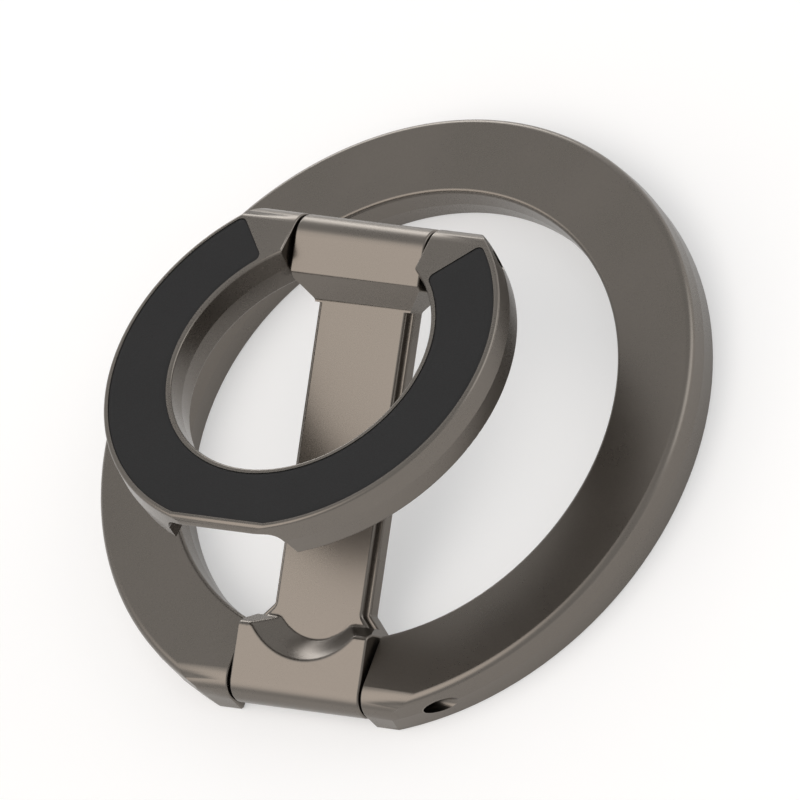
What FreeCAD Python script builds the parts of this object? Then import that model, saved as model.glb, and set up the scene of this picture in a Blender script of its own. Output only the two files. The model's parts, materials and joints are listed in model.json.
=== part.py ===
"""Magnetic phone ring holder: a magnet ring that clings to the phone's back, a hinged arm,
and a finger ring at the arm's end that folds down inside the magnet ring.

Millimetres. The origin is the middle of the part's footprint, level with the magnet ring's back
face. +Z points away from the phone, +Y from the lower hinge across the ring, and both hinge pins
run along X.
"""
import FreeCAD
import Part

import math
import os

V = FreeCAD.Vector

# Both rings
RING_THICK = 4.1
WALL_DRAFT = 0.15           # how far each wall leans back from its parting line
BACK_EDGE = 0.2
SLOT_HALF = 7.0             # half of the gap between a ring's two ends
SLOT_CORNER = 0.6
CORNER_LAP = 0.02           # how far that round's circle dips into the bore, so they cross cleanly
SLOT_EDGE = 0.15
KNUCKLE_INSET = 0.05        # knuckles and hinge edges to the planes of a ring's two faces

# Magnet ring that holds to the phone
BASE_OUTER_R = 29.0
BASE_WIDTH = 7.55
BASE_FRONT_ROUND = 0.7
BASE_BORE_ROUND = 0.4
BASE_FLAT_DEPTH = 1.7       # what the flat beside the lower hinge takes off the ring's circle

# Finger ring at the end of the arm
FOLD_GAP = 2.75             # folded finger ring to the magnet ring's bore
FINGER_WIDTH = 6.65
FINGER_FRONT_ROUND = 0.3
FINGER_BORE_ROUND = 0.22
FINGER_FLAT_DEPTH = 3.6     # what the flat beside the upper hinge takes off the ring's circle

# Rest pose, as opened angles from the folded state
ARM_OPEN = 20.8
FINGER_OPEN = 30.1

# Arm
SIDE_GAP = 0.25             # knuckle to ring end, each side
PLATE_FRONT = 0.0           # height of the plate's front over the hinge line
PANEL_STEP = 0.62           # how far the plate's raised panel stands over its side ledges
PANEL_MARGIN = 0.5          # width of those ledges
PANEL_ROUND = 0.3
LEDGE_ROUND = 0.2
PLATE_BACK_ROUND = 0.33
FOOT_TOP = 4.85             # hinge line to the top of the foot's front face
FOOT_FALL = 0.9             # run of the slope from that edge down to the plate
FLARE_RISE = 0.27           # that edge to the point where the foot's sides start to close in
FLARE_WIDTH = 1.75          # how much wider foot and head are than the plate, each side
FLARE_ANGLE = math.radians(45)
FLARE_ROUND = 0.35
NECK_LENGTH = 3.15          # upper hinge line to the lower edge of the head's front face
NECK_RUN = 2.05             # run of the slope from that edge down to the plate
ARM_EDGE = 0.22
HEAD_ROUND = 0.4            # lower edge of the head's front face
NECK_HOLLOW = 0.5           # round at the foot of the slope below it
SCOOP_RISE = 4.2            # foot's top edge to the axis of the fingertip scoop
SCOOP_SIDE = 1.85           # foot's side to the scoop where it meets the plate
SCOOP_LEAN = 0.985          # growth of the scoop's radius for each millimetre of height
SCOOP_FLOOR_ROUND = 0.4
SCOOP_RIM_ROUND = 0.55
SCOOP_HORN_ROUND = 0.8      # where the scoop meets the foot's short top edges

# Rolled spring pins of the hinges
PIN_R = 0.8
PIN_WALL = 0.35
PIN_SLIT = 0.25
PIN_CHAMFER = 0.15
PIN_SINK = 1.1              # pin end to the near side of the hole's mouth
PRESS_GAP = 0.01
RUNNING_GAP = 0.03

# Fingernail notch and arm passage in the finger ring
NAIL_FLAT_DEPTH = 0.48      # what the short flat at the free end takes off the ring's circle
NAIL_ROUND = 0.65
PASS_SIDE_GAP = 1.4         # plate edge to the notch wall at the finger ring's back
PASS_LEAN = 0.157           # how much each notch wall closes for each millimetre of depth
PASS_TOP_GAP = 0.2          # folded plate's front to the notch roof
PASS_CORNER = 0.7
NAIL_RISE = 1.15            # how far the nail bevel climbs over the notch roof
NAIL_CORNER = 1.1

# Soft pads in their recesses
PAD_THICK = 0.5
PAD_CORNER = 0.6
PAD_GAP = 0.05
BASE_PAD_RIM = 0.83         # ring wall to the pad's edge
BASE_PAD_SUNK = 0.0
BASE_PAD_END_ANGLE = 27.0   # degrees from the hinge side to each end
FINGER_PAD_RIM = 0.65
FINGER_PAD_SUNK = 0.05
FINGER_PAD_END_ANGLE = 43.5
FINGER_PAD_NAIL_RIM = 0.8   # short flat at the free end to the pad's own flat

# Magnets and the steel behind them
MAGNET_WALL = 1.5           # ring wall to the magnets
MAGNET_SPACE = 0.3          # between neighbouring magnets
MAGNET_GAP = 0.1            # magnet to the channel's walls
BASE_YOKE_THICK = 0.5
BASE_MAGNET_THICK = 1.6
BASE_MAGNET_FIRST_ANGLE = 42.0
BASE_MAGNET_COUNT = 16
FINGER_YOKE_THICK = 0.4
FINGER_MAGNET_THICK = 1.4
FINGER_MAGNET_FIRST_ANGLE = 50.0
FINGER_MAGNET_LAST_ANGLE = 147.0
FINGER_MAGNET_COUNT = 5     # on each side

# What follows from the sizes above
BASE_INNER_R = BASE_OUTER_R - BASE_WIDTH
FINGER_OUTER_R = BASE_INNER_R - FOLD_GAP
FINGER_INNER_R = FINGER_OUTER_R - FINGER_WIDTH
KNUCKLE_R = RING_THICK / 2 - KNUCKLE_INSET
BASE_FLAT = BASE_OUTER_R - BASE_FLAT_DEPTH
FINGER_FLAT = FINGER_OUTER_R - FINGER_FLAT_DEPTH
BASE_HINGE = BASE_FLAT - KNUCKLE_R
FINGER_HINGE = FINGER_FLAT - KNUCKLE_R
ARM_LENGTH = BASE_HINGE + FINGER_HINGE   # folds the finger ring to the magnet ring's centre
FOOT_HALF = SLOT_HALF - SIDE_GAP
PLATE_HALF = FOOT_HALF - FLARE_WIDTH
SCOOP_CENTRE = FOOT_TOP + SCOOP_RISE
SCOOP_R = FOOT_HALF - SCOOP_SIDE
NAIL_FLAT = FINGER_OUTER_R - NAIL_FLAT_DEPTH
FOOTPRINT_MIDDLE = (BASE_OUTER_R - BASE_FLAT) / 2   # from the magnet ring's centre along +Y

FULL_TURN = 360.0           # degrees
OVERCUT = 1.0               # how far a cutter runs past the face that it opens
NEAR = 1e-3                 # how close two places count as the same when edges are picked


# Outlines and basic solids

def corner_arc(before, corner, after, radius):
    """The two tangent points and the middle of an arc that rounds one corner."""
    to_before = (before - corner).normalize()
    to_after = (after - corner).normalize()
    half_angle = to_before.getAngle(to_after) / 2
    reach = radius / math.tan(half_angle)
    bisector = (to_before + to_after).normalize()
    centre = corner + bisector * (radius / math.sin(half_angle))
    middle = centre - bisector * radius
    return corner + to_before * reach, middle, corner + to_after * reach


def rounded_face(corners):
    """Flat face through (point, radius) corners, each rounded by its radius."""
    count = len(corners)
    edges = []
    joints = []
    for i, (point, radius) in enumerate(corners):
        if radius > 0:
            before = corners[i - 1][0]
            after = corners[(i + 1) % count][0]
            start, middle, end = corner_arc(before, point, after, radius)
            edges.append(Part.Arc(start, middle, end).toShape())
            joints.append((start, end))
        else:
            joints.append((point, point))
    for i in range(count):
        start = joints[i][1]
        end = joints[(i + 1) % count][0]
        if start.distanceToPoint(end) > NEAR:
            edges.append(Part.makeLine(start, end))
    wire = Part.Wire(Part.__sortEdges__(edges))
    return Part.Face(wire)


def plan_prism(corners, bottom, top):
    """Prism that stands on an XY outline of (x, y, radius) corners."""
    face = rounded_face([(V(x, y, bottom), radius) for x, y, radius in corners])
    return face.extrude(V(0, 0, top - bottom))


def side_prism(corners, half_width):
    """Prism along X of a YZ outline of (y, z, radius) corners."""
    face = rounded_face([(V(-half_width, y, z), radius) for y, z, radius in corners])
    return face.extrude(V(2 * half_width, 0, 0))


def on_polar(radius, degrees, height=0.0):
    """Point at an angle measured from +Y towards +X."""
    angle = math.radians(degrees)
    return V(radius * math.sin(angle), radius * math.cos(angle), height)


def sector(inner_r, outer_r, start, end, bottom, top):
    """Part of a flat ring between two angles measured from +Y towards +X."""
    middle = (start + end) / 2
    outer = Part.Arc(on_polar(outer_r, start, bottom), on_polar(outer_r, middle, bottom),
                     on_polar(outer_r, end, bottom)).toShape()
    inner = Part.Arc(on_polar(inner_r, start, bottom), on_polar(inner_r, middle, bottom),
                     on_polar(inner_r, end, bottom)).toShape()
    first = Part.makeLine(on_polar(inner_r, start, bottom), on_polar(outer_r, start, bottom))
    last = Part.makeLine(on_polar(inner_r, end, bottom), on_polar(outer_r, end, bottom))
    wire = Part.Wire(Part.__sortEdges__([outer, last, inner, first]))
    return Part.Face(wire).extrude(V(0, 0, top - bottom))


def upright_edges(shape):
    """Edges of a solid that run along Z."""
    found = []
    for edge in shape.Edges:
        ends = [vertex.Point for vertex in edge.Vertexes]
        if len(ends) != 2:
            continue
        run = ends[1] - ends[0]
        if abs(run.x) < NEAR and abs(run.y) < NEAR:
            found.append(edge)
    return found


def edge_ends(edge):
    """First and last point of an edge."""
    return edge.valueAt(edge.FirstParameter), edge.valueAt(edge.LastParameter)


def edges_on_planes(shape, offset):
    """Lines and hinge rounds that lie in the two planes X = +-offset, apart from upright lines
    on an inner wall."""
    found = []
    for edge in shape.Edges:
        first, last = edge_ends(edge)
        middle = edge.valueAt((edge.FirstParameter + edge.LastParameter) / 2)
        in_plane = all(abs(abs(point.x) - offset) < NEAR for point in (first, middle, last))
        upright = abs(first.y - last.y) < NEAR
        if in_plane and not upright:
            found.append(edge)
    return found


def rod(radius, half_length, y):
    """Round bar along X in the plane Z = 0, centred on X = 0."""
    return Part.makeCylinder(radius, 2 * half_length, V(-half_length, y, 0), V(1, 0, 0))


# Rings, built with their middle plane at Z = 0 and their hinge on the +Y side

def ring_blank(outer_r, inner_r, front_round, bore_round):
    """Full turned ring whose walls lean back both ways from a parting line."""
    half = RING_THICK / 2
    outer_face_r = outer_r - WALL_DRAFT
    inner_face_r = inner_r + WALL_DRAFT
    profile = [
        (outer_face_r, -half, BACK_EDGE), (outer_r, 0, 0), (outer_face_r, half, front_round),
        (inner_face_r, half, bore_round), (inner_r, 0, 0), (inner_face_r, -half, BACK_EDGE),
    ]
    face = rounded_face([(V(r, 0, z), radius) for r, z, radius in profile])
    return face.revolve(V(0, 0, 0), V(0, 0, 1), FULL_TURN)


def beyond_flat(distance, reach, front_round, back_round):
    """Everything past a flat at +Y whose front and back edges are rounded."""
    half = RING_THICK / 2
    far = distance + reach
    over = half + OVERCUT
    front = V(0, distance - front_round, half - front_round)
    back = V(0, distance - back_round, back_round - half)
    front_arc = Part.Arc(front + V(0, 0, front_round),
                         front + V(0, front_round, front_round) * math.sqrt(0.5),
                         front + V(0, front_round, 0)).toShape()
    back_arc = Part.Arc(back + V(0, back_round, 0),
                        back + V(0, back_round, -back_round) * math.sqrt(0.5),
                        back - V(0, 0, back_round)).toShape()
    flat = Part.makeLine(front + V(0, front_round, 0), back + V(0, back_round, 0))
    around = [back - V(0, 0, back_round), V(0, back.y, -over), V(0, far, -over),
              V(0, far, over), V(0, front.y, over), front + V(0, 0, front_round)]
    edges = [front_arc, flat, back_arc]
    edges += [Part.makeLine(a, b) for a, b in zip(around, around[1:])]
    face = Part.Face(Part.Wire(edges))
    face.translate(V(-reach, 0, 0))
    return face.extrude(V(2 * reach, 0, 0))


def hinged_ring(outer_r, inner_r, front_round, bore_round, back_round, flat):
    """Ring with its hinge flat, the slot between its two ends, and the pin hole."""
    ring = ring_blank(outer_r, inner_r, front_round, bore_round)
    ring = ring.cut(beyond_flat(flat, outer_r, KNUCKLE_R, back_round))
    slot = Part.makeBox(2 * SLOT_HALF, outer_r, 2 * RING_THICK, V(-SLOT_HALF, 0, -RING_THICK))
    corner = slot_corner(inner_r)
    ring = ring.cut([slot, corner, corner.mirror(V(0, 0, 0), V(1, 0, 0))])
    ring = ring.makeFillet(SLOT_EDGE, edges_on_planes(ring, SLOT_HALF))
    return ring.cut(rod(PIN_R + PRESS_GAP, outer_r, flat - KNUCKLE_R))


def crossing(bore_r, centre, radius):
    """Where a circle about a centre crosses the bore's circle, on the slot's side."""
    far = math.hypot(centre.x, centre.y)
    along = (bore_r ** 2 - radius ** 2 + far ** 2) / (2 * far)
    aside = math.sqrt(bore_r ** 2 - along ** 2)
    outward = V(centre.x, centre.y, 0) / far
    return V(0, 0, centre.z) + outward * along + V(-outward.y, outward.x, 0) * aside


def slot_corner(inner_r):
    """Cutter that rounds the upright corner between the slot and the ring's inner wall."""
    far = inner_r + SLOT_CORNER - CORNER_LAP
    across = SLOT_HALF + SLOT_CORNER
    centre = V(across, math.sqrt(far ** 2 - across ** 2), -RING_THICK)
    start = centre - V(SLOT_CORNER, 0, 0)
    end = crossing(inner_r, centre, SLOT_CORNER)
    middle = centre + (start + end - centre * 2).normalize() * SLOT_CORNER
    outside = V(SLOT_HALF - SLOT_CORNER, end.y - SLOT_CORNER, -RING_THICK)
    edges = [Part.Arc(start, middle, end).toShape(), Part.makeLine(end, outside),
             Part.makeLine(outside, start)]
    return Part.Face(Part.Wire(edges)).extrude(V(0, 0, 2 * RING_THICK))


def soft_pad(inner_r, outer_r, end_angle, bottom, top, growth=0.0):
    """C-shaped pad with rounded ends, or with growth its recess."""
    turn = math.degrees(growth / inner_r)
    pad = sector(inner_r - growth, outer_r + growth, end_angle - turn,
                 FULL_TURN - end_angle + turn, bottom, top)
    return pad.makeFillet(PAD_CORNER + growth, upright_edges(pad))


def magnets_between(start, end, count, wall_radii, bottom, top):
    """Row of arc magnets between a ring's walls, with a space between neighbours."""
    inner_r, outer_r = wall_radii
    inner_r += MAGNET_WALL
    outer_r -= MAGNET_WALL
    pitch = (end - start) / count
    gap = math.degrees(MAGNET_SPACE / 2 / inner_r)
    row = []
    for i in range(count):
        first = start + i * pitch + gap
        last = start + (i + 1) * pitch - gap
        row.append(sector(inner_r, outer_r, first, last, bottom, top))
    return row


def yoke(start, end, wall_radii, bottom, top):
    """Steel strip behind a row of magnets."""
    inner_r, outer_r = wall_radii
    return sector(inner_r + MAGNET_WALL, outer_r - MAGNET_WALL, start, end, bottom, top)


def channel(start, end, wall_radii, bottom, top):
    """Groove that takes a row of magnets and their yoke with clearance."""
    inner_r, outer_r = wall_radii
    side = MAGNET_WALL - MAGNET_GAP
    turn = math.degrees(MAGNET_GAP / inner_r)
    return sector(inner_r + side, outer_r - side, start - turn, end + turn, bottom, top)


# Magnet ring

def base_pad(bottom, top, growth=0.0):
    """Pad in the magnet ring's back, or with growth its recess."""
    return soft_pad(BASE_INNER_R + BASE_PAD_RIM, BASE_OUTER_R - BASE_PAD_RIM,
                    BASE_PAD_END_ANGLE, bottom, top, growth)


def base_parts():
    """The magnet ring's pieces with their nodes' names, hinge on +Y, middle plane at Z = 0."""
    back = -RING_THICK / 2
    pad_low = back + BASE_PAD_SUNK
    magnet_low = pad_low + PAD_THICK
    yoke_low = magnet_low + BASE_MAGNET_THICK
    yoke_top = yoke_low + BASE_YOKE_THICK
    first = BASE_MAGNET_FIRST_ANGLE
    last = FULL_TURN - first
    walls = (BASE_INNER_R, BASE_OUTER_R)

    frame = hinged_ring(BASE_OUTER_R, BASE_INNER_R, BASE_FRONT_ROUND, BASE_BORE_ROUND,
                        BACK_EDGE, BASE_FLAT)
    frame = frame.cut(base_pad(back - OVERCUT, magnet_low, PAD_GAP))
    frame = frame.cut(channel(first, last, walls, magnet_low - OVERCUT, yoke_top))
    parts = {
        "base_frame": frame,
        "base_pad": base_pad(pad_low, magnet_low),
        "base_yoke": yoke(first, last, walls, yoke_low, yoke_top),
        "base_hinge_pin": hinge_pin(BASE_OUTER_R, BASE_HINGE),
    }
    magnets = magnets_between(first, last, BASE_MAGNET_COUNT, walls, magnet_low, yoke_low)
    for i, magnet in enumerate(magnets):
        parts["base_magnet_%02d" % (i + 1)] = magnet
    return parts


# Finger ring

def nail_notch():
    """Cutter for the passage that the folded arm lies in, with the nail bevel in front of it."""
    back = -RING_THICK / 2
    half_back = PLATE_HALF + PASS_SIDE_GAP
    roof = PLATE_FRONT + PASS_TOP_GAP

    def opening(top, corner, y):
        low = back - OVERCUT
        wide = half_back + PASS_LEAN * OVERCUT
        narrow = half_back - PASS_LEAN * (top - back)
        outline = [(wide, low, 0), (narrow, top, corner), (-narrow, top, corner),
                   (-wide, low, 0)]
        return rounded_face([(V(x, y, z), radius) for x, z, radius in outline])

    inside = -math.sqrt(FINGER_INNER_R ** 2 - half_back ** 2) + OVERCUT
    outside = -FINGER_OUTER_R - OVERCUT
    passage = opening(roof, PASS_CORNER, outside).extrude(V(0, inside - outside, 0))
    mouth = opening(roof + NAIL_RISE, NAIL_CORNER, outside)
    lead = mouth.extrude(V(0, -NAIL_FLAT - outside, 0))
    bevel_start = opening(roof + NAIL_RISE, NAIL_CORNER, -NAIL_FLAT)
    bevel = bevel_start.extrude(V(0, NAIL_RISE, -NAIL_RISE))
    return passage.fuse([lead, bevel])


def nail_side():
    """Everything past the short flat at the finger ring's free end."""
    cutter = beyond_flat(NAIL_FLAT, FINGER_OUTER_R, NAIL_ROUND, BACK_EDGE)
    return cutter.rotate(V(0, 0, 0), V(0, 0, 1), FULL_TURN / 2)


def finger_pad(bottom, top, growth=0.0):
    """Pad with a flat behind the fingernail notch, or with growth its recess."""
    pad = soft_pad(FINGER_INNER_R + FINGER_PAD_RIM, FINGER_OUTER_R - FINGER_PAD_RIM,
                   FINGER_PAD_END_ANGLE, bottom, top, growth)
    width = 2 * FINGER_OUTER_R
    flat = NAIL_FLAT - FINGER_PAD_NAIL_RIM + growth
    return pad.cut(Part.makeBox(width, width, top - bottom, V(-width / 2, -flat - width, bottom)))


def finger_parts():
    """The finger ring's pieces, hinge on +Y, middle plane at Z = 0."""
    front = RING_THICK / 2
    pad_top = front - FINGER_PAD_SUNK
    pad_low = pad_top - PAD_THICK
    magnet_low = pad_low - FINGER_MAGNET_THICK
    yoke_low = magnet_low - FINGER_YOKE_THICK
    walls = (FINGER_INNER_R, FINGER_OUTER_R)

    ring = hinged_ring(FINGER_OUTER_R, FINGER_INNER_R, FINGER_FRONT_ROUND, FINGER_BORE_ROUND,
                       KNUCKLE_R, FINGER_FLAT)
    ring = ring.cut(nail_side()).cut(nail_notch())
    ring = ring.cut(finger_pad(pad_low, front + OVERCUT, PAD_GAP))
    parts = {
        "finger_pad": finger_pad(pad_low, pad_top),
        "finger_hinge_pin": hinge_pin(FINGER_OUTER_R, FINGER_HINGE),
    }
    first = FINGER_MAGNET_FIRST_ANGLE
    last = FINGER_MAGNET_LAST_ANGLE
    number = 0
    for side, start, end in (("right", first, last), ("left", FULL_TURN - last, FULL_TURN - first)):
        ring = ring.cut(channel(start, end, walls, yoke_low, pad_low + OVERCUT))
        parts["finger_yoke_" + side] = yoke(start, end, walls, yoke_low, magnet_low)
        for magnet in magnets_between(start, end, FINGER_MAGNET_COUNT, walls, magnet_low, pad_low):
            number += 1
            parts["finger_magnet_%02d" % number] = magnet
    parts["finger_ring"] = ring
    return parts


# Hinge pins

def hinge_pin(ring_outer_r, hinge):
    """Rolled spring pin: a slit tube with chamfered ends, sunk in the ring's pin hole."""
    mouth = math.sqrt(ring_outer_r ** 2 - (hinge + PIN_R) ** 2)
    half = mouth - PIN_SINK + WALL_DRAFT
    bore_r = PIN_R - PIN_WALL
    neck_r = PIN_R - PIN_CHAMFER
    shoulder = half - PIN_CHAMFER
    profile = [V(bore_r, 0, -half), V(neck_r, 0, -half), V(PIN_R, 0, -shoulder),
               V(PIN_R, 0, shoulder), V(neck_r, 0, half), V(bore_r, 0, half)]
    tube = rounded_face([(point, 0) for point in profile])
    tube = tube.revolve(V(0, 0, 0), V(0, 0, 1), FULL_TURN)
    slit = Part.makeBox(PIN_R + OVERCUT, PIN_SLIT, 2 * (half + OVERCUT),
                        V(0, -PIN_SLIT / 2, -half - OVERCUT))
    tube = tube.cut(slit)
    tube.rotate(V(0, 0, 0), V(0, 1, 0), FULL_TURN / 4)
    tube.translate(V(0, hinge, 0))
    return tube


# Arm, built with its lower hinge line on the X axis and its plate along +Y

def arm_outline(margin):
    """Plan of the arm's right half as (x, y, radius), narrowed by a margin along the plate."""
    plate = PLATE_HALF - margin
    shift = margin * math.tan(FLARE_ANGLE / 2)
    lower = FOOT_TOP + FLARE_RISE + FLARE_WIDTH / math.tan(FLARE_ANGLE) - shift
    upper = ARM_LENGTH - NECK_LENGTH - NECK_RUN + shift
    rise = (FOOT_HALF - plate) / math.tan(FLARE_ANGLE)
    hollow = FLARE_ROUND + margin
    return [(FOOT_HALF, lower - rise, 0), (plate, lower, hollow),
            (plate, upper, hollow), (FOOT_HALF, upper + rise, 0)]


def mirrored_outline(right_half):
    """Closed plan outline from its right half, which runs upwards."""
    left_half = [(-x, y, radius) for x, y, radius in reversed(right_half)]
    return right_half + left_half


def back_flanks(slab):
    """Edges of the slab's back along the plate and its flares."""
    found = []
    for edge in slab.Edges:
        across = abs(edge.CenterOfMass.x)
        at_back = edge.BoundBox.ZMax < NEAR - KNUCKLE_R
        if at_back and NEAR < across < FOOT_HALF - NEAR:
            found.append(edge)
    return found


def arm_plan():
    """Slab with the arm's plan, its back rounded along the plate."""
    flanks = arm_outline(0.0)
    right = [(FOOT_HALF, -KNUCKLE_R, 0)] + flanks + [(FOOT_HALF, ARM_LENGTH + KNUCKLE_R, 0)]
    slab = plan_prism(mirrored_outline(right), -KNUCKLE_R, KNUCKLE_R)
    return slab.makeFillet(PLATE_BACK_ROUND, back_flanks(slab))


def arm_side():
    """Side view of the arm, drawn between its two knuckles."""
    outline = [
        (0, -KNUCKLE_R, 0), (ARM_LENGTH, -KNUCKLE_R, 0), (ARM_LENGTH, KNUCKLE_R, 0),
        (neck_slope_y(KNUCKLE_R), KNUCKLE_R, HEAD_ROUND),
        (neck_slope_y(PLATE_FRONT), PLATE_FRONT, NECK_HOLLOW),
        (foot_slope_y(PLATE_FRONT), PLATE_FRONT, 0), (FOOT_TOP, KNUCKLE_R, 0),
        (0, KNUCKLE_R, 0),
    ]
    body = side_prism(outline, FOOT_HALF)
    return body.fuse([rod(KNUCKLE_R, FOOT_HALF, 0), rod(KNUCKLE_R, FOOT_HALF, ARM_LENGTH)])


def foot_slope_y(z):
    """Where the slope above the foot stands at a height."""
    return FOOT_TOP + FOOT_FALL * (KNUCKLE_R - z) / (KNUCKLE_R - PLATE_FRONT)


def neck_slope_y(z):
    """Where the slope below the head stands at a height."""
    run = NECK_RUN * (KNUCKLE_R - z) / (KNUCKLE_R - PLATE_FRONT)
    return ARM_LENGTH - NECK_LENGTH - run


def neck_foot_y():
    """Where the round at the foot of the neck's slope begins."""
    slope = math.atan2(KNUCKLE_R - PLATE_FRONT, NECK_RUN)
    return neck_slope_y(PLATE_FRONT) - NECK_HOLLOW * math.tan(slope / 2)


def rounded_block(margin, low, top, radius):
    """Block along the plate, narrowed by a margin, with its front edges rounded."""
    block = plan_prism(mirrored_outline(arm_outline(margin)), low, top)
    front = [edge for edge in block.Edges if edge.BoundBox.ZMin > top - NEAR]
    return block.makeFillet(radius, front)


def panel_ledges():
    """Cutter for all that lies beside and before the raised panel, between the two slopes."""
    ledge = PLATE_FRONT - PANEL_STEP
    low = ledge - LEDGE_ROUND - NEAR
    over = KNUCKLE_R + OVERCUT
    foot = foot_slope_y(PLATE_FRONT)
    neck = neck_foot_y()
    between_slopes = [(foot, low, 0), (foot, over, 0), (neck, over, 0), (neck, low, 0)]
    cutter = side_prism(between_slopes, FOOT_HALF + OVERCUT)
    panel = rounded_block(PANEL_MARGIN, low - OVERCUT, PLATE_FRONT, PANEL_ROUND)
    plate = rounded_block(0.0, low - OVERCUT, ledge, LEDGE_ROUND)
    return cutter.cut([panel, plate])


def scoop():
    """Cutter for the fingertip scoop in the foot, a cone that opens towards the front."""
    height = KNUCKLE_R - PLATE_FRONT + OVERCUT
    return Part.makeCone(SCOOP_R, SCOOP_R + SCOOP_LEAN * height, height,
                         V(0, SCOOP_CENTRE, PLATE_FRONT))


def horn_edges(body):
    """The two ridges where the scoop cuts the slope above the foot."""
    found = []
    for edge in body.Edges:
        first, last = edge_ends(edge)
        heights = sorted((first.z, last.z))
        spans = abs(heights[0] - PLATE_FRONT) < NEAR and abs(heights[1] - KNUCKLE_R) < NEAR
        in_scoop = max(math.hypot(point.x, point.y - SCOOP_CENTRE) - SCOOP_R
                       for point in (first, last)) < SCOOP_LEAN * KNUCKLE_R + NEAR
        if spans and in_scoop and abs(first.x - last.x) > NEAR and last.y < SCOOP_CENTRE:
            found.append(edge)
    return found


def level_edges(body, height, low, high):
    """Edges of the foot that lie at one height, between two distances from the hinge line."""
    found = []
    for edge in body.Edges:
        points = edge_ends(edge)
        level = all(abs(point.z - height) < NEAR for point in points)
        near = all(low < point.y < high for point in points)
        if level and near:
            found.append(edge)
    return found


def soften(body):
    """Rounds the scoop's horns, floor and rim, then the edges of foot and head on the sides."""
    body = body.makeFillet(SCOOP_HORN_ROUND, horn_edges(body))
    slope_foot = foot_slope_y(PLATE_FRONT) + NEAR
    floor = level_edges(body, PLATE_FRONT, SCOOP_CENTRE - SCOOP_R - OVERCUT, slope_foot)
    body = body.makeFillet(SCOOP_FLOOR_ROUND, floor)
    rim = level_edges(body, KNUCKLE_R, ARM_EDGE, SCOOP_CENTRE)
    body = body.makeFillet(SCOOP_RIM_ROUND, rim)
    return body.makeFillet(ARM_EDGE, edges_on_planes(body, FOOT_HALF))


def arm():
    """The arm with both knuckles, its raised panel, the scoop and the two pin holes."""
    body = arm_plan().common(arm_side())
    body = body.cut(panel_ledges())
    body = soften(body.cut(scoop()).removeSplitter())
    for y in (0.0, ARM_LENGTH):
        body = body.cut(rod(PIN_R + RUNNING_GAP, FOOT_HALF + OVERCUT, y))
    return body


# Assembly at rest

def base_placement():
    """Lays the magnet ring on its back with its hinge on the -Y side."""
    turn = FreeCAD.Rotation(V(0, 0, 1), FULL_TURN / 2)
    return FreeCAD.Placement(V(0, -FOOTPRINT_MIDDLE, RING_THICK / 2), turn)


def arm_placement():
    """Stands the arm on the lower hinge line, opened by its rest angle."""
    turn = FreeCAD.Rotation(V(1, 0, 0), ARM_OPEN)
    return FreeCAD.Placement(V(0, -BASE_HINGE - FOOTPRINT_MIDDLE, RING_THICK / 2), turn)


def finger_placement():
    """Hangs the finger ring on the upper hinge line, opened from the arm by its rest angle."""
    hinge = arm_placement().multVec(V(0, ARM_LENGTH, 0))
    turn = FreeCAD.Rotation(V(1, 0, 0), ARM_OPEN - FINGER_OPEN)
    return FreeCAD.Placement(hinge - turn.multVec(V(0, FINGER_HINGE, 0)), turn)


def placed(shape, placement):
    """Copy of a piece's solid, moved to its place at rest."""
    solid = shape.Solids[0].copy()
    solid.Placement = placement.multiply(solid.Placement)
    return solid


def build():
    """All pieces at rest, by node name."""
    parts = {}
    for name, shape in base_parts().items():
        parts[name] = placed(shape, base_placement())
    parts["arm"] = placed(arm(), arm_placement())
    for name, shape in finger_parts().items():
        parts[name] = placed(shape, finger_placement())
    return parts


os.makedirs("parts", exist_ok=True)
for node, shape in build().items():
    shape.exportStep("parts/%s.step" % node)
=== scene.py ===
"""Looks of the phone ring holder: satin gunmetal castings, black rubber pads, steel pins."""
import json
import math
from collections import namedtuple

import bmesh
import bpy
from mathutils import Matrix, Vector


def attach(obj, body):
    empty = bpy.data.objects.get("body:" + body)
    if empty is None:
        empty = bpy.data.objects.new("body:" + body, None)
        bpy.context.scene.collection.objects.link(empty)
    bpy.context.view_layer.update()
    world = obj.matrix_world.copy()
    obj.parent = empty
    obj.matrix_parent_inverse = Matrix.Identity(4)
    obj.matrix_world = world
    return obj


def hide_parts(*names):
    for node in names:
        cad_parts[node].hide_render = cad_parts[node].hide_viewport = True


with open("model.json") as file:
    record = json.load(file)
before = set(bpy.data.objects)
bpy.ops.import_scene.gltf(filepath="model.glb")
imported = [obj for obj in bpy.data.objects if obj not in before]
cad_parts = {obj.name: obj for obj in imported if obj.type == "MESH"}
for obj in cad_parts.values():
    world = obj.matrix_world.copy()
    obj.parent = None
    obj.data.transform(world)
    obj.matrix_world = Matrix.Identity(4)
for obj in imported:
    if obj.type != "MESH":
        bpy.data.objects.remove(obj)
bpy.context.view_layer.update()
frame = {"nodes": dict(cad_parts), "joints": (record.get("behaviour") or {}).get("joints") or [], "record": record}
scene = bpy.context.scene

# Camera of the photo: place in metres, right and down directions, lens in millimetres, and the
# nearest and farthest that it sees in metres
EYE = Vector((1.406195, -0.801177, 1.905808))
RIGHT = Vector((0.819894, 0.332588, -0.466004))
DOWN = Vector((0.103646, -0.886736, -0.450508))
LENS = 1306.0
NEAREST = 0.1
FARTHEST = 20.0

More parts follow.
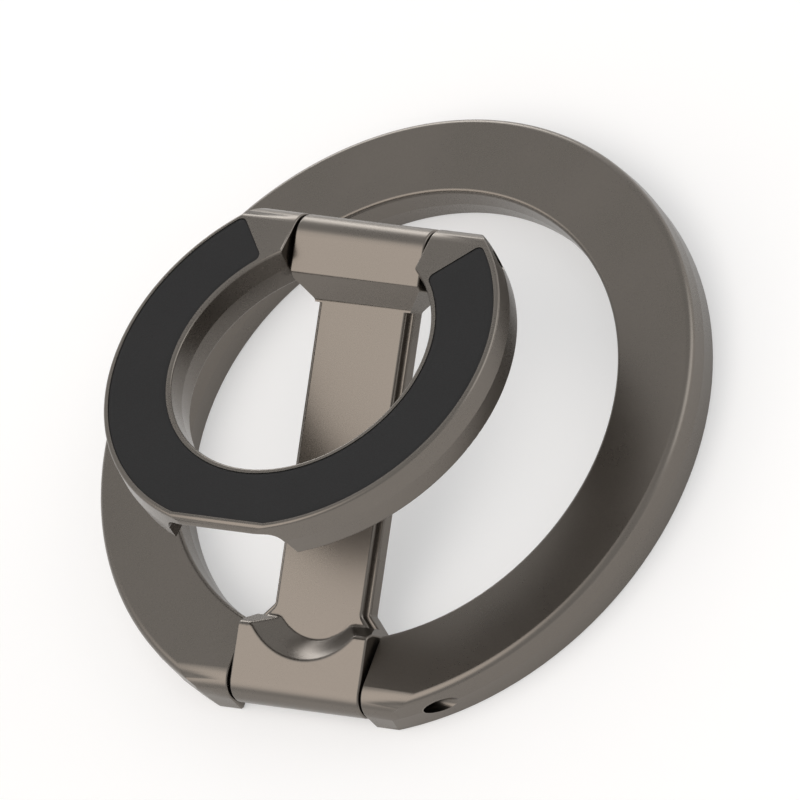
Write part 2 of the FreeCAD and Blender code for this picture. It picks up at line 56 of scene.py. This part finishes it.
# Studio light. Each glow is centred on an azimuth from +Y towards +X and a height, is at its full
# strength within one angle of that and gone by another, all in degrees
Glow = namedtuple("Glow", "azimuth height full gone strength")
GLOWS = [Glow(-138, 52, 20, 42, 1.70),
         Glow(-40, 4, 8, 22, 4.50),
         Glow(48, 12, 12, 32, 1.60)]
AMBIENT = 0.85
HORIZON = 0.2               # how far up, as a sine, the pale horizon fades out
PLAIN = (0.8, 0.8, 0.8, 1)
WARM = (0.85, 0.80, 0.76, 1)            # colour of the light where the first glow is full
FLOOR_HALF = 3.0            # half of the floor's side, in metres
FLOOR_TONE = 0.60
FLOOR_GLOW = 0.38           # seen by the camera and in reflections, lights nothing

# Finishes, from the lowest to the highest value where there are two
COAT = (0.168, 0.152, 0.135, 1), (0.176, 0.159, 0.141, 1)
COAT_ROUGH = (0.27, 0.30)
SPECK = (0.97, 0.97, 0.97, 1), (1.03, 1.03, 1.03, 1)    # share of the coat's colour
SPECK_ROUGH = (-0.015, 0.015)
COAT_BUMP = 0.04
BARE_ZINC = (0.42, 0.39, 0.36, 1)
WORN_SHARE = 0.35           # how much of it shows where an edge is worn,
WORN_POLISH = 0.06          # and how much less rough it is there
WEAR = (0.15, 1.0)          # between the patches of wear and on them
BLACK = (0.013, 0.013, 0.0135, 1), (0.016, 0.016, 0.0165, 1)
BLACK_ROUGH = (0.62, 0.76)
BLACK_SHINE = 0.2
BLACK_BUMP = 0.25

# Steels, by the word that their nodes' names hold, with the number of drawn lines to the metre
Steel = namedtuple("Steel", "name colour rough lines")
STEELS = {"pin": Steel("pin_steel", (0.30, 0.29, 0.28), 0.35, 9000.0),
          "yoke": Steel("yoke_steel", (0.50, 0.49, 0.47), 0.40, 6000.0),
          "magnet": Steel("magnet_nickel", (0.62, 0.60, 0.56), 0.22, 3000.0)}
LINE_LIGHTER = 1.25         # the lightest line's colour, as a share of the darkest's
LINE_ROUGHER = 0.06         # how far the lines' roughness differs from the steel's
LINE_BUMP = 0.1

# Patterns of the finishes: clouds, patches and grains to the metre, and depths in metres
COAT_CLOUDS = 110.0
COAT_GRAINS = 7000.0
WORN_PATCHES = 700.0
RUBBER_CLOUDS = 150.0
RUBBER_GRAINS = 9000.0
GRAIN_DETAIL = 2.0
LINE_STRETCH = 0.02         # pattern along the drawn lines to the pattern across them
GRAIN_DEPTH = 0.00002
LINE_DEPTH = 0.00001
NOISE_BAND = (0.3, 0.7)     # where most of a noise lies
PATCH_BAND = (0.42, 0.62)   # and the part of it that the patches of wear take
EDGE_REACH = 0.00012        # how far from an edge its finish wears off, in metres
EDGE_SAMPLES = 4
EDGE_TURN = (0.99, 0.90)    # cosine of an edge's turn where wear starts and where it is full

# Soft pads, in metres
PAD_ROUND = 0.00005
PAD_ROUND_FACETS = 3
PAD_SPREAD = 0.00003        # how far the soft pads fill the gap round them
PAD_CROWN = 0.00002
CROWN_RUN = 0.0004

# Rings, in metres: hinge, mount on a flat side, 1 if that side is the front and -1 if the back,
# hinge line to the ring's middle, then radius, side and round of each edge of the front. The
# side is 1 for the outer wall and -1 for the bore
Ring = namedtuple("Ring", "hinge mount way reach edges")
RINGS = {"base_frame": Ring("arm_hinge", "phone_face", -1, 0.0253,
                            ((0.029, 1, 0.0007), (0.02145, -1, 0.0004))),
         "finger_ring": Ring("finger_hinge", "metal_face", 1, 0.0131,
                             ((0.0187, 1, 0.0003), (0.01205, -1, 0.00022)))}
RING_HALF = 0.00205         # half the thickness of both rings
WALL_DRAFT = 0.00015        # how far a wall leans back over that half
BACK_EDGE = 0.0002          # round of the back's edges
ON_ROUND = 3e-6             # how close to a round its points lie,
ON_CHORD = 1.2e-5           # how close the middles of its long edges lie,
NEAR_ROUND = 1e-4           # and how close the middles of its facets lie
AT_RIM = 3e-7               # points this close to a round's rim, or to front or back, stay
FINER = 1                   # times that its facets are split
ALL_POINTS = 0.99           # share of a facet's points that counts as all
FACING = 0.8                # least cosine between a facet and its round for the exact normal,
NOT_ACROSS = 0.3            # and for being split

SAME = 1e-7                 # points this close, in metres, are one
SAME_PLANE = math.radians(1)            # facets bent by less than this are one face
LEVEL = 0.99                # least cosine between a pad's flat faces and its direction
CREASE = math.radians(33)   # edges bent by more than this stay sharp
PARTING = math.radians(3)   # and so do those bent by more than this along a parting line
ON_PARTING = 1e-5           # how far from that line, in metres, both ends of an edge lie in all

PlacedRing = namedtuple("PlacedRing", "anchor middle front rounds")
Round = namedtuple("Round", "exact off moved alike from_rim")


def place_camera():
    """Camera with the photo's direction, roll and framing."""
    camera = bpy.data.objects.new("camera", bpy.data.cameras.new("camera"))
    scene.collection.objects.link(camera)
    right = RIGHT.normalized()
    back = right.cross(-DOWN).normalized()
    up = back.cross(right)
    turn = Matrix((right, up, back)).transposed()
    camera.matrix_world = Matrix.Translation(EYE) @ turn.to_4x4()
    camera.data.lens = LENS
    camera.data.clip_start = NEAREST
    camera.data.clip_end = FARTHEST
    scene.camera = camera


# Node trees

class Nodes:
    """Builds a node tree."""

    def __init__(self, tree):
        self.tree = tree
        tree.nodes.clear()

    def add(self, kind, settings=None, inputs=None):
        """New node with its settings, and its inputs by name or number."""
        node = self.tree.nodes.new(kind)
        for name, value in (settings or {}).items():
            setattr(node, name, value)
        for name, value in (inputs or {}).items():
            self.put(node, name, value)
        return node

    def put(self, node, name, value):
        """Links a socket to an input, or sets its value."""
        if isinstance(value, bpy.types.NodeSocket):
            self.tree.links.new(value, node.inputs[name])
        else:
            node.inputs[name].default_value = value

    def maths(self, operation, first, second=0.0):
        """Result of one sum on numbers."""
        inputs = {0: first, 1: second}
        return self.add("ShaderNodeMath", {"operation": operation}, inputs).outputs[0]

    def measure(self, operation, first, second=(0, 0, 0)):
        """Number that comes of two vectors."""
        node = self.add("ShaderNodeVectorMath", {"operation": operation}, {0: first, 1: second})
        return node.outputs["Value"]

    def vector(self, operation, first, second=(0, 0, 0)):
        """Vector that comes of two vectors."""
        node = self.add("ShaderNodeVectorMath", {"operation": operation}, {0: first, 1: second})
        return node.outputs["Vector"]

    def scaled(self, vector, factor):
        """A vector times a number."""
        inputs = {0: vector, "Scale": factor}
        return self.add("ShaderNodeVectorMath", {"operation": "SCALE"}, inputs).outputs[0]

    def spread(self, value, low, high, to_low, to_high, smooth=False):
        """A range of values mapped to another one."""
        kind = "SMOOTHSTEP" if smooth else "LINEAR"
        inputs = {0: value, 1: low, 2: high, 3: to_low, 4: to_high}
        return self.add("ShaderNodeMapRange", {"interpolation_type": kind}, inputs).outputs[0]

    def mix(self, share, first, second, blend="MIX"):
        """Blend of two colours."""
        settings = {"data_type": "RGBA", "blend_type": blend}
        return self.add("ShaderNodeMix", settings, {0: share, 6: first, 7: second}).outputs[2]

    def choose(self, when, otherwise, then):
        """One of two vectors."""
        inputs = {0: when, 1: otherwise, 2: then}
        return self.add("GeometryNodeSwitch", {"input_type": "VECTOR"}, inputs).outputs[0]

    def noise(self, where, scale, detail=3.0):
        """Cloudy pattern about 0.5."""
        inputs = {"Vector": where, "Scale": scale, "Detail": detail}
        return self.add("ShaderNodeTexNoise", None, inputs).outputs["Fac"]

    def bump(self, height, strength, distance):
        """Normal of a height pattern."""
        inputs = {"Height": height, "Strength": strength, "Distance": distance}
        return self.add("ShaderNodeBump", None, inputs).outputs[0]


def new_material(name):
    """Material with one shader, and the place on the object."""
    material = bpy.data.materials.new(name)
    material.use_nodes = True
    n = Nodes(material.node_tree)
    shader = n.add("ShaderNodeBsdfPrincipled")
    n.add("ShaderNodeOutputMaterial", None, {"Surface": shader.outputs[0]})
    where = n.add("ShaderNodeTexCoord").outputs["Object"]
    return material, n, shader, where


# Materials

def worn_edges(n, where):
    """How much of the finish an edge has lost, from 0 to 1, broken up by a noise."""
    flat = n.add("ShaderNodeNewGeometry").outputs["Normal"]
    bevel = n.add("ShaderNodeBevel", {"samples": EDGE_SAMPLES}, {"Radius": EDGE_REACH})
    rounded = bevel.outputs[0]
    edge =n.spread(n.measure("DOT_PRODUCT", flat, rounded), *EDGE_TURN, 0.0, 1.0)
    patches = n.spread(n.noise(where, WORN_PATCHES), *PATCH_BAND, *WEAR)
    return n.maths("MULTIPLY", edge, patches)


def gunmetal():
    """Fine blasted and coated zinc casting."""
    material, n, shader, where = new_material("gunmetal")
    cloud = n.noise(where, COAT_CLOUDS)
    grain = n.noise(where, COAT_GRAINS, GRAIN_DETAIL)
    worn = worn_edges(n, where)
    coat = n.mix(n.spread(cloud, *NOISE_BAND, 0.0, 1.0), *COAT)
    speck = n.mix(n.spread(grain, *NOISE_BAND, 0.0, 1.0), *SPECK)
    blasted = n.mix(1.0, coat, speck, "MULTIPLY")
    rough = n.maths("ADD", n.spread(cloud, *NOISE_BAND, *COAT_ROUGH),
                    n.spread(grain, *NOISE_BAND, *SPECK_ROUGH))
    n.put(shader, "Base Color", n.mix(n.maths("MULTIPLY", worn, WORN_SHARE), blasted, BARE_ZINC))
    n.put(shader, "Roughness", n.maths("SUBTRACT", rough, n.maths("MULTIPLY", worn, WORN_POLISH)))
    n.put(shader, "Metallic", 1.0)
    n.put(shader, "Normal", n.bump(grain, COAT_BUMP, GRAIN_DEPTH))
    return material


def drawn_steel(name, colour, rough, lines):
    """Steel with fine lines along the hinge pins' direction."""
    material, n, shader, where = new_material(name)
    scale = (lines * LINE_STRETCH, lines, lines)
    stretched = n.add("ShaderNodeMapping", None, {"Vector": where, "Scale": scale}).outputs[0]
    line = n.noise(stretched, 1.0)
    lighter = [min(1.0, share * LINE_LIGHTER) for share in colour]
    n.put(shader, "Base Color", n.mix(line, (*colour, 1), (*lighter, 1)))
    n.put(shader, "Roughness",
          n.spread(line, *NOISE_BAND, rough - LINE_ROUGHER, rough + LINE_ROUGHER))
    n.put(shader, "Metallic", 1.0)
    n.put(shader, "Normal", n.bump(line, LINE_BUMP, LINE_DEPTH))
    return material


def rubber():
    """Matt black pad with a fine moulded grain."""
    material, n, shader, where = new_material("rubber")
    cloud = n.noise(where, RUBBER_CLOUDS)
    grain = n.noise(where, RUBBER_GRAINS, GRAIN_DETAIL)
    n.put(shader, "Base Color", n.mix(cloud, *BLACK))
    n.put(shader, "Roughness", n.spread(grain, *NOISE_BAND, *BLACK_ROUGH))
    n.put(shader, "Specular IOR Level", BLACK_SHINE)
    n.put(shader, "Normal", n.bump(grain, BLACK_BUMP, GRAIN_DEPTH))
    return material


# Places of the part, from the frame

def mount_axis(name):
    """Direction that a flat face of the part looks in."""
    mounts = frame["record"]["mounts"]
    return Vector(next(mount["axis"] for mount in mounts if mount["name"] == name))


def hinge_anchor(joint):
    """Point on a hinge line."""
    return Vector(next(hinge["pos_m"] for hinge in frame["joints"] if hinge["name"] == joint))


def ring_rounds(edges):
    """Radius and height of the middle of each rounded ring edge, and its round."""
    lean = math.hypot(RING_HALF, WALL_DRAFT) / RING_HALF
    rounds = []
    for radius, side, front_round in edges:
        for end, size in ((1, front_round), (-1, BACK_EDGE)):
            height = RING_HALF - size
            inwards = WALL_DRAFT * height / RING_HALF + size * lean
            rounds.append((radius - side * inwards, end * height, size))
    return rounds


def place_ring(ring):
    """Point on a ring's hinge line, its middle, its front's direction and its rounds."""
    anchor = hinge_anchor(ring.hinge)
    front = mount_axis(ring.mount) * ring.way
    along = front.cross(Vector((1, 0, 0)))
    if along.y * anchor.y > 0:      # the ring's middle lies across the part from its hinge
        along.negate()
    return PlacedRing(anchor, anchor + along * ring.reach, front, ring_rounds(ring.edges))


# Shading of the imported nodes

def mesh_group(name):
    """Empty node group that takes and gives a mesh."""
    tree = bpy.data.node_groups.new(name, "GeometryNodeTree")
    tree.interface.new_socket("Mesh", in_out="INPUT", socket_type="NodeSocketGeometry")
    tree.interface.new_socket("Mesh", in_out="OUTPUT", socket_type="NodeSocketGeometry")
    n = Nodes(tree)
    return tree, n, n.add("NodeGroupInput").outputs[0]


class Rounds:
    """Fields that say where a point lies on the rounded edges of a ring."""

    def __init__(self, n, ring):
        self.n = n
        self.ring = ring
        self.place = n.add("GeometryNodeInputPosition").outputs[0]
        offset = n.vector("SUBTRACT", self.place, ring.middle)
        self.height = n.measure("DOT_PRODUCT", offset, ring.front)
        across = n.vector("SUBTRACT", offset, n.scaled(ring.front, self.height))
        self.radius = n.measure("DISTANCE", across)
        self.outward = n.vector("NORMALIZE", across)
        self.normals = n.add("GeometryNodeInputNormal").outputs
        self.facet = n.add("GeometryNodeFieldOnDomain",
                           {"data_type": "FLOAT_VECTOR", "domain": "FACE"},
                           {0: self.normals["True Normal"]}).outputs[0]
        self.edges = [self.one_round(*edge) for edge in ring.rounds]

    def one_round(self, middle_radius, middle_height, size):
        """For one round: its exact normal at a point, how far off it the point lies, the point
        moved onto it, how much the facet faces its way, and how far the point is from the
        height where the wall takes over."""
        n = self.n
        front = self.ring.front
        out = n.maths("SUBTRACT", self.radius, middle_radius)
        up = n.maths("SUBTRACT", self.height, middle_height)
        away = n.vector("ADD", n.scaled(self.outward, out), n.scaled(front, up))
        exact = n.vector("NORMALIZE", away)
        off = n.maths("ABSOLUTE", n.maths("SUBTRACT", n.measure("DISTANCE", away), size))
        core = n.vector("ADD", n.scaled(self.outward, middle_radius),
                        n.scaled(front, middle_height))
        core = n.vector("ADD", core, self.ring.middle)
        moved = n.vector("ADD", core, n.scaled(exact, size))
        alike = n.measure("DOT_PRODUCT", self.facet, exact)
        rim = size * WALL_DRAFT / RING_HALF
        from_rim = n.maths("ABSOLUTE", n.maths("SUBTRACT", n.maths("ABSOLUTE", up), rim))
        return Round(exact, off, moved, alike, from_rim)


def fill_rounds(name, ring):
    """Node group that makes the facets of a ring's rounded edges finer and sets them true."""
    tree, n, start = mesh_group(name)
    rounds = Rounds(n, ring)
    chosen = 0.0
    for edge in rounds.edges:
        close = n.maths("LESS_THAN", edge.off, ON_ROUND)
        share = n.add("GeometryNodeFieldOnDomain", {"domain": "POINT"}, {0: close}).outputs[0]
        whole = n.maths("GREATER_THAN", share, ALL_POINTS)
        facing = n.maths("GREATER_THAN", edge.alike, NOT_ACROSS)
        chosen = n.maths("MAXIMUM", chosen, n.maths("MULTIPLY", whole, facing))
    parts = n.add("GeometryNodeSeparateGeometry", {"domain": "FACE"}, {0: start, 1: chosen})
    finer = n.add("GeometryNodeSubdivideMesh", None, {0: parts.outputs[0], 1: FINER}).outputs[0]
    place = rounds.place
    for edge in rounds.edges:
        near = n.maths("LESS_THAN", edge.off, NEAR_ROUND)
        within = n.maths("GREATER_THAN", edge.from_rim, AT_RIM)
        place = n.choose(n.maths("MULTIPLY", near, within), place, edge.moved)
    inside = n.maths("LESS_THAN", n.maths("ABSOLUTE", rounds.height), RING_HALF - AT_RIM)
    set_true = n.add("GeometryNodeSetPosition", None, {0: finer, 1: inside, 2: place})
    join = n.add("GeometryNodeJoinGeometry")
    n.put(join, 0, parts.outputs[1])
    n.put(join, 0, set_true.outputs[0])
    merged = n.add("GeometryNodeMergeByDistance", None, {0: join.outputs[0], "Distance": SAME})
    n.add("NodeGroupOutput", None, {0: merged.outputs[0]})
    return tree


def true_rounds(name, ring):
    """Node group that gives the rounded edges of a ring their exact normals."""
    tree, n, start = mesh_group(name)
    rounds = Rounds(n, ring)
    chosen = rounds.normals["Normal"]
    for edge in rounds.edges:
        close = n.maths("LESS_THAN", edge.off, ON_CHORD)
        facing = n.maths("GREATER_THAN", edge.alike, FACING)
        chosen = n.choose(n.maths("MULTIPLY", close, facing), chosen, edge.exact)
    given = n.add("GeometryNodeSetMeshNormal", {"mode": "FREE", "domain": "CORNER"},
                  {0: start, "Custom Normal": chosen})
    n.add("NodeGroupOutput", None, {0: given.outputs[0]})
    return tree


def crease_edges(name, ring):
    """Node group that marks the sharp edges, and those on a ring's parting line."""
    tree, n, start = mesh_group(name)
    bend = n.add("GeometryNodeInputMeshEdgeAngle").outputs[0]
    sharp = n.maths("GREATER_THAN", bend, CREASE)
    if ring:
        ends = n.add("GeometryNodeInputMeshEdgeVertices").outputs
        away = 0.0
        for end in ("Position 1", "Position 2"):
            from_anchor = n.vector("SUBTRACT", ends[end], ring.anchor)
            height = n.maths("ABSOLUTE", n.measure("DOT_PRODUCT", from_anchor, ring.front))
            away = n.maths("ADD", height, away)
        on_line = n.maths("LESS_THAN", away, ON_PARTING)
        parted = n.maths("MULTIPLY", on_line, n.maths("GREATER_THAN", bend, PARTING))
        sharp = n.maths("MAXIMUM", sharp, parted)
    store = n.add("GeometryNodeStoreNamedAttribute", {"data_type": "BOOLEAN", "domain": "EDGE"},
                  {"Geometry": start, "Name": "sharp_edge", "Value": sharp})
    n.add("NodeGroupOutput", None, {0: store.outputs[0]})
    return tree


def add_group(node, name, tree):
    """Adds a node group to an object as a modifier."""
    node.modifiers.new(name, "NODES").node_group = tree


def shade_evenly(node, ring=None):
    """Flats shaded flat, rounds smooth and true edges sharp. A ring's rounds are set true."""
    node.modifiers.new("weld", "WELD").merge_threshold = SAME
    if ring:
        add_group(node, "filled", fill_rounds("filled_" + node.name, ring))
    add_group(node, "creases", crease_edges("creases_" + node.name, ring))
    weighted = node.modifiers.new("weighted", "WEIGHTED_NORMAL")
    weighted.mode = "FACE_AREA"
    weighted.weight = 100
    weighted.keep_sharp = True
    if ring:
        add_group(node, "rounds", true_rounds("rounds_" + node.name, ring))


def dress_nodes(soft):
    """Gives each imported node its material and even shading."""
    metal = gunmetal()
    finishes = {word: drawn_steel(*steel) for word, steel in STEELS.items()}
    finishes["pad"] = soft
    for name, node in frame["nodes"].items():
        material = next((finish for word, finish in finishes.items() if word in name), metal)
        for slot in node.material_slots:
            slot.material = material
        shade_evenly(node, place_ring(RINGS[name]) if name in RINGS else None)


# Soft pads

def spread_sides(sides):
    """Moves the side walls of a pad out into the gap round it."""
    moves = {vert: Vector() for face in sides for vert in face.verts}
    for face in sides:
        for vert in face.verts:
            moves[vert] += face.normal
    for vert, move in moves.items():
        vert.co += move.normalized() * PAD_SPREAD


def pad_piece(name, facing, crown):
    """Pad over a node's outline, its rims rounded and its face raised by a crown."""
    mesh = bpy.data.meshes.new(name)
    shape = bmesh.new()
    shape.from_mesh(frame["nodes"][name].data)
    bmesh.ops.remove_doubles(shape, verts=shape.verts, dist=SAME)
    bmesh.ops.dissolve_limit(shape, angle_limit=SAME_PLANE, verts=shape.verts, edges=shape.edges)
    flats = [face for face in shape.faces if abs(face.normal.dot(facing)) > LEVEL]
    spread_sides([face for face in shape.faces if face not in flats])
    rims = list(dict.fromkeys(edge for face in flats for edge in face.edges))
    bmesh.ops.bevel(shape, geom=rims, offset=PAD_ROUND, segments=PAD_ROUND_FACETS,
                    profile=0.5, affect="EDGES", clamp_overlap=True)
    face = max(shape.faces, key=lambda f: f.normal.dot(facing) * f.calc_area())
    bmesh.ops.inset_region(shape, faces=[face], thickness=CROWN_RUN, depth=crown)
    bmesh.ops.triangulate(shape, faces=[f for f in shape.faces if len(f.verts) > 4])
    for side in shape.faces:
        side.smooth = True
    shape.to_mesh(mesh)
    shape.free()
    piece = bpy.data.objects.new(name + "_rubber", mesh)
    scene.collection.objects.link(piece)
    return piece


def add_pads(soft):
    """Replaces both soft solids by rubber pads on the same bodies."""
    for name, body, mount, crown in (("base_pad", "magnet_ring", "phone_face", 0.0),
                                     ("finger_pad", "finger_loop", "metal_face", PAD_CROWN)):
        piece = pad_piece(name, mount_axis(mount), crown)
        piece.data.materials.append(soft)
        shade_evenly(piece)
        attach(piece, body)
        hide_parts(name)


# Studio

def lay_floor():
    """Plain pale floor that keeps the object's shadow."""
    mesh = bpy.data.meshes.new("floor")
    corners = [(-FLOOR_HALF, -FLOOR_HALF, 0), (FLOOR_HALF, -FLOOR_HALF, 0),
               (FLOOR_HALF, FLOOR_HALF, 0), (-FLOOR_HALF, FLOOR_HALF, 0)]
    mesh.from_pydata(corners, [], [(0, 1, 2, 3)])
    floor = bpy.data.objects.new("floor", mesh)
    scene.collection.objects.link(floor)
    material = bpy.data.materials.new("floor")
    material.use_nodes = True
    mesh.materials.append(material)
    n = Nodes(material.node_tree)
    path = n.add("ShaderNodeLightPath").outputs
    seen = n.maths("MAXIMUM", path["Is Camera Ray"],
                   n.maths("MAXIMUM", path["Is Glossy Ray"], path["Is Transmission Ray"]))
    tone = (FLOOR_TONE, FLOOR_TONE, FLOOR_TONE, 1)
    lit = n.add("ShaderNodeBsdfDiffuse", None, {"Color": tone}).outputs[0]
    glow = n.add("ShaderNodeEmission", None,
                 {"Strength": n.maths("MULTIPLY", seen, FLOOR_GLOW)}).outputs[0]
    both = n.add("ShaderNodeAddShader", None, {0: lit, 1: glow}).outputs[0]
    n.add("ShaderNodeOutputMaterial", None, {"Surface": both})


def glow_share(n, towards, glow):
    """How much of a glow comes from each direction, from 0 to 1."""
    turn = math.radians(glow.azimuth)
    rise = math.radians(glow.height)
    middle = (math.sin(turn) * math.cos(rise), math.cos(turn) * math.cos(rise), math.sin(rise))
    near = n.measure("DOT_PRODUCT", towards, middle)
    gone = math.cos(math.radians(glow.gone))
    full = math.cos(math.radians(glow.full))
    return n.spread(near, gone, full, 0.0, 1.0, smooth=True)


def light_studio():
    """Even light with soft glows, and a pale horizon."""
    world = bpy.data.worlds.new("studio")
    world.use_nodes = True
    scene.world = world
    n = Nodes(world.node_tree)
    towards = n.add("ShaderNodeTexCoord").outputs["Generated"]
    height = n.add("ShaderNodeSeparateXYZ", None, {0: towards}).outputs[2]
    light = n.spread(height, 0.0, HORIZON, 1.0, AMBIENT, smooth=True)
    shares = [glow_share(n, towards, glow) for glow in GLOWS]
    for share, glow in zip(shares, GLOWS):
        light = n.maths("ADD", light, n.maths("MULTIPLY", share, glow.strength))
    tint = n.mix(shares[0], PLAIN, WARM)
    back = n.add("ShaderNodeBackground", None, {"Color": tint, "Strength": light}).outputs[0]
    n.add("ShaderNodeOutputWorld", None, {"Surface": back})


place_camera()
black_rubber = rubber()
dress_nodes(black_rubber)
add_pads(black_rubber)
lay_floor()
light_studio()
scene.view_settings.view_transform = "Standard"
